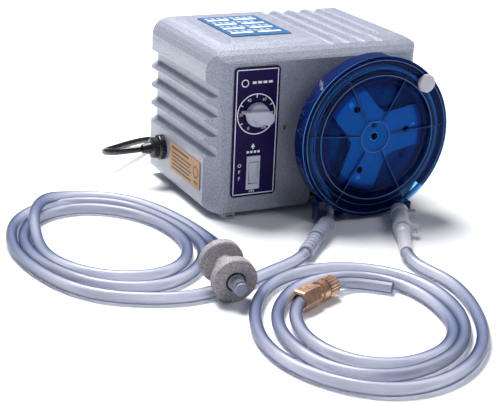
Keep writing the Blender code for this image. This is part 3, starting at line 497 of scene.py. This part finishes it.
def panel_print(white):
    """The panel's border line, its dial, a plain ring and dashes for its mark, and the switch's legends."""
    work = bmesh.new()
    face = PANEL_INK[1]
    shapes = [
        bar(BORDER_LEFT, BORDER_FOOT, BORDER_RIGHT, BORDER_FOOT + BORDER_WIDTH),
        bar(BORDER_LEFT, BORDER_TOP - BORDER_WIDTH, BORDER_RIGHT, BORDER_TOP),
        bar(BORDER_LEFT, BORDER_FOOT, BORDER_LEFT + BORDER_WIDTH, BORDER_TOP),
        bar(BORDER_RIGHT - BORDER_WIDTH, BORDER_FOOT, BORDER_RIGHT, BORDER_TOP),
        *ring_parts(DIAL, *DIAL_RING, 64),
    ]
    for index in range(11):
        degrees = DIAL_ZERO - DIAL_STEP * index
        if index % 2:
            shapes.append(spoke(DIAL, degrees, *DIAL_TICK, -0.45, 0.45))
        else:
            angle = math.radians(degrees)
            middle = Vector(DIAL) + Vector((math.cos(angle), math.sin(angle))) * DIAL_NUMBERS
            letters(work, str(10 * index), 3.6, middle, face)
    shapes += [
        ARROW_HEAD,
        bar(*ARROW_STEM),
        *dashes(-69.4, 59.4, 2.2, 2.0, 3.4, 4),
        *dashes(-66.4, 120.2, 3.6, 2.0, 5.0, 4),
        *ring_parts(MARK, 2.6, 3.4, 28),
    ]
    for shape in shapes:
        slab(work, shape, *PANEL_INK, on_front)
    for text, size, middle in LEGENDS:
        letters(work, text, size, middle, face)
    mesh_piece("panel_print", work, white)


LABEL_INK = (0.02, 0.08)
TOP_LABEL_FACE = 151.7
SIDE_LABEL_FACE = -102.25


def top_label_print(white):
    """Four plain rows on the top label, each two bars with two lines of dashes behind them."""

    def on_top(x, y, height):
        return x, y, TOP_LABEL_FACE + height

    left = -63.0
    shapes = []
    for index in range(4):
        middle = 103.0 - 17.0 * index
        shapes.append(bar(left, middle - 2.0, -42.0, middle + 2.0))
        shapes.append(bar(-37.0, middle - 2.0, -15.0, middle + 2.0))
        for row in (5.2, 8.2):
            shapes += dashes(left, middle + row, 4.4, 0.9, 6.2, 8 - index % 2)
    work = bmesh.new()
    for shape in shapes:
        slab(work, shape, *LABEL_INK, on_top)
    mesh_piece("top_label_print", work, white)


def side_label_print(dark):
    """Plain lines, a ring and a bar on the side label."""

    def on_side(y, z, out):
        return SIDE_LABEL_FACE - out, y, z

    shapes = [bar(46.0, 42.6, 84.0, 44.6)]
    for index in range(5):
        height = 38.2 - 3.5 * index
        shapes.append(bar(40.0 + 4.0 * (index % 2), height, 84.0, height + 1.4))
    shapes += ring_parts((30.5, 36.0), 4.4, 5.6, 28)
    shapes.append(bar(26.0, 25.6, 35.0, 27.2))
    work = bmesh.new()
    for shape in shapes:
        slab(work, shape, *LABEL_INK, on_side)
    mesh_piece("side_label_print", work, dark)


# ---------------------------------------------------------------- the head's small pieces

HEAD = (35.5, 74.8)
ROLLER_ANGLES = (127.0, 247.0, 7.0)
ROLLER_REACH = 31.5


def rotor_screws_and_hole_shade(dark):
    """Dark discs on the rotor's front plate: dark socket screw heads in the pins, and painted shade in the
    shaft's centre recess and the puller hole.
    """
    work = bmesh.new()
    low, high = 34.02, 34.3
    for angle in ROLLER_ANGLES:
        turn = math.radians(angle)
        spot = (HEAD[0] + ROLLER_REACH * math.cos(turn), HEAD[1] + ROLLER_REACH * math.sin(turn))
        slab(work, circle(spot, 2.9), low, high, on_front)
    # Painted shade: dark discs for the shaft's centre recess and the puller hole.
    slab(work, circle(HEAD, 3.3), low, high, on_front)
    slab(work, circle((HEAD[0] - 1.5, HEAD[1] + 10.2), 2.3), 33.95, 34.2, on_front)
    mesh_piece("rotor_screws_and_hole_shade", work, dark, "rotor")


COVER_RIBS = (6.0, 64.0, 121.0, 174.0, 236.0, 298.0)
COVER_FRONT = 40.0
COVER_DISH = 36.3
RIB_FOOT = COVER_DISH + 0.8
RIB_TOP = COVER_FRONT + 0.1
RIB_INNER = 13.8
RIB_LENGTH = 38.2
PAINTED_STRIP_DEPTHS = (0.01, 0.06)


def cover_painted_highlights_and_shade(light, dark):
    """Painted highlights and painted shade: thin pale and dark strips along the edges of the cover's moulded
    rings and ribs.
    """

    def on_rib(x, z, lift):
        radius = math.hypot(x - HEAD[0], z - HEAD[1])
        share = min(max((radius - RIB_INNER) / RIB_LENGTH, 0.0), 1.0)
        return x, -(RIB_FOOT + share * (RIB_TOP - RIB_FOOT) + lift), z

    # The pale strips are painted highlights and the dark strips painted shade.
    bright = bmesh.new()
    deep = bmesh.new()
    rings = (
        (bright, 13.5, 14.1, COVER_DISH + 0.7),
        (bright, 54.5, 55.2, COVER_FRONT + 0.3),
        (bright, 67.6, 68.2, COVER_FRONT),
        (bright, 60.4, 60.7, COVER_FRONT - 0.6),
        (deep, 48.6, 50.0, COVER_DISH),
        (deep, 56.0, 57.6, COVER_FRONT - 0.6),
        (deep, 65.0, 66.4, COVER_FRONT - 0.6),
    )
    low, high = PAINTED_STRIP_DEPTHS
    for work, inner, outer, face in rings:
        for shape in ring_parts(HEAD, inner, outer, 96):
            slab(work, shape, face + low, face + high, on_front)
    for angle in COVER_RIBS:
        for work, left, right in ((deep, -0.5, 0.3), (bright, 0.3, 0.52)):
            for inner, outer in ((15.0, 33.0), (33.0, 52.0), (52.0, 66.0)):
                slab(work, spoke(HEAD, angle, inner, outer, left, right), low, high, on_rib)
    mesh_piece("cover_highlight_strips", bright, light, "cover")
    mesh_piece("cover_shade_strips", deep, dark, "cover")


WEIGHT_BACK = Vector((-147.6, -122.0, 20.5))
WEIGHT_FRONT = Vector((-151.4, -160.5, 17.15))


def weight_bore_painted_shade(dark):
    """Painted shade: dark rings in the shadowed bore round the foot weight's stem and at the roots of the
    stem's ridges.
    """
    axis = (WEIGHT_FRONT - WEIGHT_BACK).normalized()
    across = axis.cross(Vector((0.0, 0.0, 1.0))).normalized()
    up = across.cross(axis)

    def on_weight(u, v, lift):
        return WEIGHT_FRONT + axis * lift + across * u + up * v

    work = bmesh.new()
    # Painted shade: each ring is a dark band where the bore or a ridge's root lies in shadow.
    for inner, outer, low, high in (
        (5.9, 7.9, 0.02, 0.08),
        (4.9, 5.3, 3.4, 3.8),
        (4.9, 5.3, 5.4, 5.8),
        (4.9, 5.3, 7.4, 7.8),
        (4.3, 4.7, 9.8, 10.2),
    ):
        for shape in ring_parts((0.0, 0.0), inner, outer, 32):
            slab(work, shape, low, high, on_weight)
    mesh_piece("weight_bore_painted_shade", work, dark)


# ---------------------------------------------------------------- hoses

HOSE = 4.75
SPACING = 4.0


def laid(*points):
    """Route points with a height: one given without it lies on the floor, the hose's radius up."""
    return [point if len(point) == 3 else (*point, HOSE) for point in points]


# The suction hose runs out from the pump to the coil's outermost turn, makes three turns inwards, climbs over
# the others and ends in the foot weight.
SUCTION = laid(
    (-64.4, -105.1, 6.7), (-72, -111, 5.6), (-84, -117), (-99, -122), (-114, -129), (-131, -137.6),
    (-149, -141.8), (-166, -146), (-182, -148), (-201, -144), (-214, -139), (-230, -131), (-243, -121),
    (-254, -108), (-264, -88), (-271, -64), (-275, -40), (-276, -13), (-271, 14), (-260, 42),
    (-243, 62), (-223, 73), (-198, 74), (-176, 67), (-160, 54), (-148, 36), (-139, 9), (-133, -14),
    (-131, -38), (-134, -62), (-144, -84), (-158, -102), (-173, -114), (-190, -121), (-206, -121),
    (-223, -114), (-238, -103), (-250, -85), (-260, -62), (-265.5, -38), (-266, -12), (-261, 13),
    (-251, 33), (-237, 48), (-220, 57), (-201, 59), (-183, 53), (-168, 41), (-157, 28), (-149, 12),
    (-144, -6), (-142, -26), (-143, -46), (-149, -66), (-160, -84), (-174, -96), (-190, -101),
    (-208, -99), (-224, -92), (-238, -79), (-249, -62), (-255.5, -40), (-256, -16, 5.2), (-253, 6, 8.6),
    (-248, 28, 13.2), (-239, 49, 14.3), (-226, 68, 13.6), (-210, 81, 9.0), (-194, 86, 5.4), (-178, 84),
    (-164, 76), (-152, 64), (-142, 48), (-134, 28), (-128, 4), (-124, -20), (-123, -44, 5.4),
    (-125, -66, 8.4), (-132, -88, 14.4), (-139, -103, 18.6), (-144.5, -113, 20.2),
    (-147.4, -121.2, 20.6),
)

# The discharge hose runs out from the coupling round to the front, spirals inwards and ends in the brass
# fitting.
DISCHARGE = laid(
    (12.5, -134.4, 7.9), (9.4, -141.8, 7.1), (8.8, -151.0, 5.9), (11.4, -161.5, 4.9), (15.6, -173.0),
    (17.6, -185.5), (17.0, -199.0), (10.7, -226.5), (-3.2, -260.5), (-16.8, -283.4), (-37.3, -305.5),
    (-61.2, -321.5), (-87.5, -329.5), (-113.3, -328.3), (-135.4, -315.5), (-152.9, -294.1),
    (-163.9, -265.6), (-164.3, -231.6), (-153.3, -197.7), (-135.3, -167.2), (-113.8, -145.5),
    (-88.3, -134.1), (-61.4, -133.2), (-39.5, -141), (-20.7, -155.5), (-6.9, -178.1), (-2.4, -206.1),
    (-6.8, -235.3), (-17.2, -260.7), (-34.5, -283.6), (-56.2, -300), (-82, -309), (-106.1, -310.5),
    (-127, -301), (-142.3, -281.5), (-148.1, -252.5), (-145.4, -221.7), (-134.7, -195.5),
    (-116.4, -172.2), (-95.5, -156.2), (-66.4, -150.4), (-43.3, -156.6), (-26.3, -173.1),
    (-17.4, -194.6), (-16.9, -224), (-23.1, -253.1), (-37.5, -275.7), (-55.6, -290.5), (-78.8, -297.8),
    (-98.5, -297), (-117.8, -286), (-129.9, -265.8), (-133.7, -241), (-130.8, -219, 5.6),
    (-125.5, -204, 7.4), (-118.0, -193.6, 8.6), (-109.5, -188.0, 8.8),
)


def lay_hose(name, points, material, stands_for):
    """One clear hose as a single smooth piece, in place of the CAD hose parts that it stands for, which are
    hidden.
    """
    route = relaxed(smooth_route(points, SPACING), 16)
    hose = tube(name, route, HOSE, material)
    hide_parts(*stands_for)


def build_hoses(material):
    """The suction hose and the discharge hose."""
    lay_hose(
        "suction_line",
        SUCTION,
        material,
        ["suction_hose", "suction_coil", "weight_hose"],
    )
    lay_hose(
        "discharge_line",
        DISCHARGE,
        material,
        ["discharge_hose", "discharge_coil"],
    )


# ---------------------------------------------------------------- the mains cord and its plug

CORD = [
    (-122.7, 109.0, 35.5), (-126.6, 109.2, 35.4), (-130.6, 110.6, 34.9), (-138.2, 115.1, 32.9),
    (-144.0, 122.0, 30.8), (-147.1, 130.5, 28.4), (-147.1, 139.5, 26.0), (-144.0, 148.0, 23.8),
    (-138.6, 154.6, 22.2), (-126.0, 165.5, 20.4), (-112.0, 177.7, 18.3), (-98.0, 189.9, 15.8),
    (-84.0, 202.0, 13.0), (-66.0, 213.4, 9.0), (-46.0, 222.2, 5.2), (-26.0, 227.2, 3.4),
    (-4.0, 228.2, 3.15),
]
CORD_RADIUS = 3.1
CORD_HEIGHT = 3.15
COIL = (18.0, 194.0)
COIL_RADIUS = 34.2
COIL_TURNS = 6.125
COIL_PITCH = 6.3
COIL_RISE = COIL_TURNS * COIL_PITCH

# The run from the coil to the plug: straight on, round a bend of an eighth of a turn, and straight again. It
# comes down from the coil's top on its way and rises to the plug's middle at its end.
RUN_STRAIGHT = 30.0
RUN_BEND = 40.0
RUN_DOWN = 75.0
RUN_UP = 36.0
RUN_END = 110.9
RUN_HEIGHT = 3.6
RELIEF_START = 84.9

PLUG_Y = 185.3
PLUG_Z = 11.0
PLUG_START = 16.6
BLADE_MIDDLE = 180.4
BLADE_LENGTH = 18.6
BLADE_HALF_GAP = 6.4


def coil_points():
    """The coil's turns, a cord's width apart."""
    count = round(COIL_TURNS * 32)
    points = []
    for index in range(count + 1):
        share = index / count
        angle = math.radians(90.0 - 360.0 * COIL_TURNS * share)
        x = COIL[0] + COIL_RADIUS * math.cos(angle)
        y = COIL[1] + COIL_RADIUS * math.sin(angle)
        points.append(Vector((x, y, CORD_HEIGHT + COIL_RISE * share)))
    return points


def plug_run(travelled):
    """A point of the cord between its coil and the plug, by how far the cord has travelled."""
    eighth = math.pi / 4.0
    half = math.sqrt(0.5)
    x = COIL[0] + half * COIL_RADIUS + half * min(travelled, RUN_STRAIGHT)
    y = COIL[1] + half * COIL_RADIUS - half * min(travelled, RUN_STRAIGHT)
    turned_by = min(max((travelled - RUN_STRAIGHT) / RUN_BEND, 0.0), eighth)
    x += RUN_BEND * (half - math.sin(eighth - turned_by))
    y -= RUN_BEND * (math.cos(eighth - turned_by) - half)
    x += max(travelled - RUN_STRAIGHT - RUN_BEND * eighth, 0.0)
    if travelled < RUN_DOWN:
        drop = CORD_HEIGHT + COIL_RISE - RUN_HEIGHT
        z = RUN_HEIGHT + drop * 0.5 * (1.0 + math.cos(math.pi * travelled / RUN_DOWN))
    else:
        climb = PLUG_Z - RUN_HEIGHT
        z = RUN_HEIGHT + climb * 0.5 * (1.0 - math.cos(math.pi * (travelled - RUN_DOWN) / RUN_UP))
    return Vector((x, y, z))


def cord_tie(steel):
    """The wire tie round one side of the coil: a rounded rectangle through its middle."""
    angle = math.radians(-70.0)
    out = Vector((math.cos(angle), math.sin(angle)))
    middle = CORD_RADIUS + 0.5 * COIL_RISE
    loop = []
    for index in range(49):
        turn = 2.0 * math.pi * index / 48
        across = 4.1 * squared(math.cos(turn), 0.4)
        up = (middle + 1.4) * squared(math.sin(turn), 0.4)
        place = Vector(COIL) + out * (COIL_RADIUS + across)
        loop.append((place.x, place.y, max(middle + up, 0.9)))
    return tube("cord_tie", loop, 0.8, steel, resolution=4)


def plug_relief(black):
    """The tapered relief behind the plug, and the rings on it."""
    tail = [plug_run(RELIEF_START + 2.0 * step) for step in range(14)]
    relief = tube("plug_relief", tail, 4.9, black, resolution=6, ends=(0.72, 1.0))
    rings = []
    for number in range(5):
        start = 2 + 2 * number
        name = f"relief_ring_{number}"
        rings.append(tube(name, tail[start:start + 2], 4.5 + 0.28 * number, black, resolution=6))
    return [relief, *rings]


def build_cord(black, steel):
    """The mains cord: round behind the housing, then the unseen length in a neat coil, with its plug."""
    route = relaxed(
        [
            *smooth_route(CORD, SPACING)[:-1],
            *coil_points(),
            *(plug_run(SPACING * step) for step in range(1, int(RUN_END / SPACING) + 1)),
            plug_run(RUN_END),
        ],
        6,
    )
    cord = tube("mains_cord", route, CORD_RADIUS, black)
    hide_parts("power_cord", "cord_coil", "plug_cord")
    relief, *rings = plug_relief(black)
    tie = cord_tie(steel)
    body = plug_body(black)
    blades = plug_blades(steel)


def plug_body(black):
    """The moulded plug: a rounded body with grip ridges on its sides."""
    work = bmesh.new()
    stations = (
        (125.2, 6.4, 6.6),
        (127.5, 8.2, 8.6),
        (131.0, 9.6, 10.2),
        (136.0, 9.9, 10.8),
        (137.0, 9.0, 10.0),
        (139.0, 9.0, 10.0),
        (140.0, 9.9, 10.8),
        (141.6, 9.9, 10.8),
        (142.6, 9.0, 10.0),
        (144.6, 9.0, 10.0),
        (145.6, 9.9, 10.8),
        (153.6, 9.9, 10.8),
        (154.8, 9.2, 10.2),
        (155.0, 8.6, 9.6),
    )
    turns = [2.0 * math.pi * index / 40 for index in range(40)]
    rings = []
    for x, half_y, half_z in stations:
        ring = []
        for turn in turns:
            y = PLUG_Y + squared(math.cos(turn), 0.45) * half_y
            z = PLUG_Z + squared(math.sin(turn), 0.45) * half_z
            ring.append(work.verts.new(at(x + PLUG_START, y, z)))
        rings.append(ring)
    for first, second in zip(rings, rings[1:]):
        join_rings(work, first, second)
    work.faces.new(rings[0])
    work.faces.new(rings[-1][::-1])
    body = mesh_piece("plug_body", work, black)
    body.data.shade_smooth()
    body.data.set_sharp_from_angle(angle=math.radians(40.0))
    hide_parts("mains_plug")
    return body


def plug_blades(steel):
    """Two flat blades and a round earth pin."""
    work = bmesh.new()
    length = BLADE_LENGTH * MM
    for y in (PLUG_Y - BLADE_HALF_GAP, PLUG_Y + BLADE_HALF_GAP):
        made = bmesh.ops.create_cube(work, size=1.0)["verts"]
        bmesh.ops.scale(work, vec=(length, 1.5 * MM, 6.2 * MM), verts=made)
        bmesh.ops.translate(work, vec=at(BLADE_MIDDLE, y, 12.5), verts=made)
    pin_at = Matrix.Translation(at(BLADE_MIDDLE, PLUG_Y, 5.0)) @ Matrix.Rotation(math.radians(90.0), 4, "Y")
    radius = 2.3 * MM
    bmesh.ops.create_cone(
        work, cap_ends=True, segments=20, radius1=radius, radius2=radius, depth=length, matrix=pin_at
    )
    sharp = [edge for edge in work.edges if edge.calc_face_angle(0.0) > 0.9]
    bmesh.ops.bevel(work, geom=sharp, offset=0.4 * MM, segments=2, affect="EDGES")
    return mesh_piece("plug_blades", work, steel)


# ---------------------------------------------------------------- the stage

LIGHTS = (
    ("soft_box", (-0.15, 0.8, 1.8), 1.2, 80.0, (1.0, 0.995, 0.99)),
    ("edge_light", (-1.0, 0.9, 1.7), 0.3, 2.5, (1.0, 1.0, 1.0)),
    ("front_fill", (0.5, -1.5, 1.4), 0.9, 8.0, (0.93, 0.96, 1.0)),
)
LIGHTS_AIM = Vector((0, -0.05, 0.05))
CAMERA_AT = (-532.3, -946.3, 392.2)
CAMERA_TURNS = (26.36, 19.66, 2.55)
CAMERA_LENS = 93.3


def lay_floor():
    """The pale paper that the pump stands on."""
    mesh = bpy.data.meshes.new("floor")
    work = bmesh.new()
    bmesh.ops.create_grid(work, x_segments=2, y_segments=2, size=6.0)
    work.to_mesh(mesh)
    work.free()
    floor = bpy.data.objects.new("floor", mesh)
    bpy.context.scene.collection.objects.link(floor)
    paper = Nodes("paper_floor")
    paper.set(Roughness=0.95)
    paper.colour_from(paper.noise(3.0), (0.93, 0.93, 0.935), (0.95, 0.95, 0.955))
    floor.data.materials.append(paper.material)


def light_stage():
    """A faint bluish surround, a large soft light above, a small one at the edge and a fill in front."""
    world = bpy.data.worlds.new("studio")
    bpy.context.scene.world = world
    world.use_nodes = True
    background = world.node_tree.nodes["Background"]
    background.inputs["Color"].default_value = (0.66, 0.80, 1.0, 1.0)
    background.inputs["Strength"].default_value = 0.16
    bpy.context.scene.view_settings.view_transform = "Standard"
    for name, place, size, power, colour in LIGHTS:
        light = bpy.data.lights.new(name, "AREA")
        light.shape = "DISK"
        light.size = size
        light.energy = power
        light.color = colour
        lamp = bpy.data.objects.new(name, light)
        lamp.location = place
        lamp.rotation_mode = "QUATERNION"
        lamp.rotation_quaternion = (LIGHTS_AIM - Vector(place)).to_track_quat("-Z", "Y")
        bpy.context.scene.collection.objects.link(lamp)


def set_camera():
    """The camera at the photo's viewing angle: turned about the pump, tipped down and rolled a little."""
    azimuth, elevation, roll = (math.radians(degrees) for degrees in CAMERA_TURNS)
    forward = Vector(
        (
            math.sin(azimuth) * math.cos(elevation),
            math.cos(azimuth) * math.cos(elevation),
            -math.sin(elevation),
        )
    )
    level = Vector((math.cos(azimuth), -math.sin(azimuth), 0.0))
    upward = level.cross(forward)
    right = level * math.cos(roll) + upward * math.sin(roll)
    up = upward * math.cos(roll) - level * math.sin(roll)
    data = bpy.data.cameras.new("camera")
    data.lens = CAMERA_LENS
    data.sensor_width = 36.0
    data.clip_start = 0.05
    data.clip_end = 30.0
    camera = bpy.data.objects.new("camera", data)
    matrix = Matrix((right, up, -forward)).transposed().to_4x4()
    matrix.translation = at(*CAMERA_AT)
    camera.matrix_world = matrix
    bpy.context.scene.collection.objects.link(camera)
    bpy.context.scene.camera = camera


# ---------------------------------------------------------------- the whole scene


def dress_parts(frame, by_slot):
    """Gives each CAD part the material of its slot, and a few inner ones a material of their own."""
    nodes = frame["nodes"]
    for part in frame["record"]["subparts"]:
        node = nodes[part["node"]]
        node.data.materials.clear()
        node.data.materials.append(by_slot[part["material_slot"]])
    nylon = moulded("dark_nylon", (0.035, 0.04, 0.05), 0.4)
    for number in (1, 2, 3):
        nodes[f"roller_{number}"].data.materials[0] = nylon
    satin = metal("satin_steel", (0.46, 0.52, 0.60), 0.55, metallic=0.2, spread=0.92)
    for name in ("rotor_front_plate", "rotor_hub"):
        nodes[name].data.materials[0] = satin
    nodes["weight_stem"].data.materials[0] = moulded("stem_grey", (0.26, 0.28, 0.35), 0.4, 0.8)


def main():
    """Dresses the CAD parts, adds the pieces that only the looks need, and sets the stage."""
    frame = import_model()
    by_slot = slot_materials(frame["nodes"]["head_cover"])
    black = by_slot["black_plastic"]
    steel = by_slot["steel"]
    ink = moulded("print_white", (0.93, 0.94, 0.97), 0.5, 0.97)

    dress_parts(frame, by_slot)
    build_hoses(by_slot["clear_vinyl"])
    build_cord(black, steel)
    panel_print(ink)
    top_label_print(ink)
    side_label_print(moulded("print_dark", (0.05, 0.045, 0.05), 0.5))
    rotor_screws_and_hole_shade(black)
    weight_bore_painted_shade(black)
    # Painted highlights and painted shade on the cover's rings and ribs, in a pale blue and a near-black
    # material.
    cover_painted_highlights_and_shade(
        moulded("cover_highlight_paint", (0.05, 0.17, 0.44), 0.25, specular=0.3),
        moulded("cover_shade_paint", (0.001, 0.003, 0.03), 0.2, specular=0.1),
    )
    lay_floor()
    light_stage()
    set_camera()


main()
